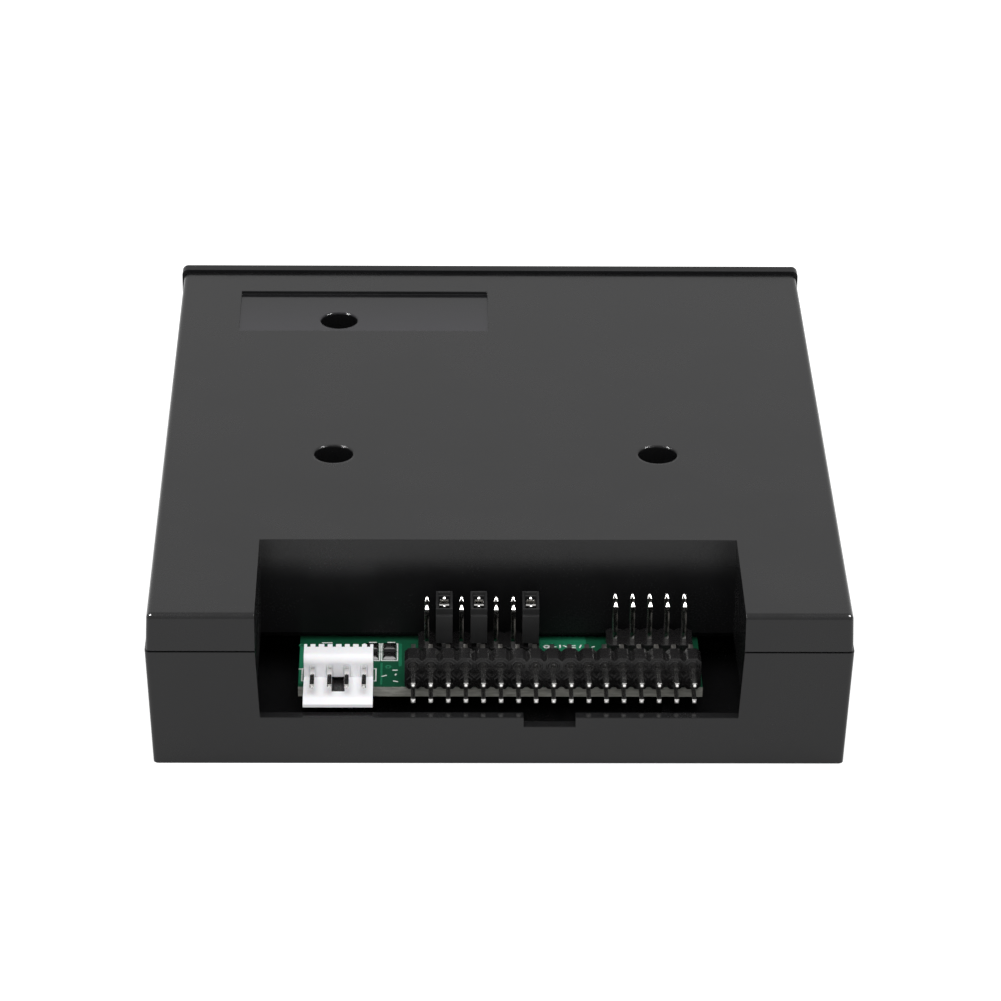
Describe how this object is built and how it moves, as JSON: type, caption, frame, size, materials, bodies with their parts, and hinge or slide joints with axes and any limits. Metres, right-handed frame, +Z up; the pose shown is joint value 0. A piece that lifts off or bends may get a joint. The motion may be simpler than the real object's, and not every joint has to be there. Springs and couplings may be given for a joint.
{
  "type": "floppy drive emulator",
  "caption": "Slim drive-bay case with an open rear connector bay of pin headers and a white power plug, and a front bezel with display, push buttons and USB socket.",
  "frame": {"origin": "middle of the case's underside, halfway along the case without its buttons", "axes": "+Z up from the surface it stands on, +Y towards the connector bay, the bezel faces -Y, +X to the power connector's side"},
  "size_m": [0.1016, 0.1203, 0.0249],
  "materials": {
    "case_plastic": "satin, finely grained",
    "bezel_plastic": "satin, finely grained",
    "board_laminate": "green coated board",
    "screw_steel": "zinc plated",
    "header_plastic": "moulded, matt",
    "pin_metal": "tin plated",
    "white_plastic": "moulded, satin",
    "socket_sheet": "bright plated sheet",
    "contact_metal": "gilt",
    "display_face": "satin face",
    "display_bars": "unlit, milky",
    "button_plastic": "satin",
    "switch_plastic": "moulded, matt",
    "light_lens": "tinted, clear",
    "chip_plastic": "moulded, matt",
    "chip_leads": "tin plated",
    "capacitor_can": "satin can",
    "capacitor_chip": "fired ceramic"
  },
  "bodies": {
    "case": {"lower_shell": "case_plastic", "upper_shell": "case_plastic", "front_bezel": "bezel_plastic", "circuit_board": "board_laminate", "case_screws": "screw_steel", "data_header_housing": "header_plastic", "data_header_pins": "pin_metal", "select_header_base": "header_plastic", "select_header_pins": "pin_metal", "service_header_base": "header_plastic", "service_header_pins": "pin_metal", "power_connector_housing": "white_plastic", "power_connector_pins": "pin_metal", "usb_shell": "socket_sheet", "usb_tongue": "white_plastic", "usb_contacts": "contact_metal", "display_housing": "display_face", "display_segments": "display_bars", "display_leads": "pin_metal", "up_switch_housing": "switch_plastic", "down_switch_housing": "switch_plastic", "switch_covers": "socket_sheet", "status_light": "light_lens", "status_light_leads": "pin_metal", "microcontroller": "chip_plastic", "microcontroller_leads": "chip_leads", "line_driver": "chip_plastic", "line_driver_leads": "chip_leads", "crystal_can": "socket_sheet", "voltage_regulator": "chip_plastic", "voltage_regulator_leads": "chip_leads", "electrolytic_capacitors": "capacitor_can", "link_resistors": "chip_plastic", "chip_resistors": "chip_plastic", "chip_capacitors": "capacitor_chip"},
    "up_key": {"up_button": "button_plastic", "up_switch_plunger": "button_plastic"},
    "down_key": {"down_button": "button_plastic", "down_switch_plunger": "button_plastic"},
    "jumper_1": {"jumper_cap_1": "header_plastic", "jumper_clip_1": "pin_metal"},
    "jumper_2": {"jumper_cap_2": "header_plastic", "jumper_clip_2": "pin_metal"},
    "jumper_3": {"jumper_cap_3": "header_plastic", "jumper_clip_3": "pin_metal"}
  },
  "joints": [
    {"name": "up_button_press", "type": "slide", "parent": "case", "child": "up_key", "axis": [0, 1, 0], "range_m": [0, 0.0004], "stiffness_N_per_m": 2000},
    {"name": "down_button_press", "type": "slide", "parent": "case", "child": "down_key", "axis": [0, 1, 0], "range_m": [0, 0.0004], "stiffness_N_per_m": 2000},
    {"name": "jumper_1_lift", "type": "slide", "parent": "case", "child": "jumper_1", "axis": [0, 0, 1], "range_m": [0, 0.0065]},
    {"name": "jumper_2_lift", "type": "slide", "parent": "case", "child": "jumper_2", "axis": [0, 0, 1], "range_m": [0, 0.0065]},
    {"name": "jumper_3_lift", "type": "slide", "parent": "case", "child": "jumper_3", "axis": [0, 0, 1], "range_m": [0, 0.0065]}
  ]
}
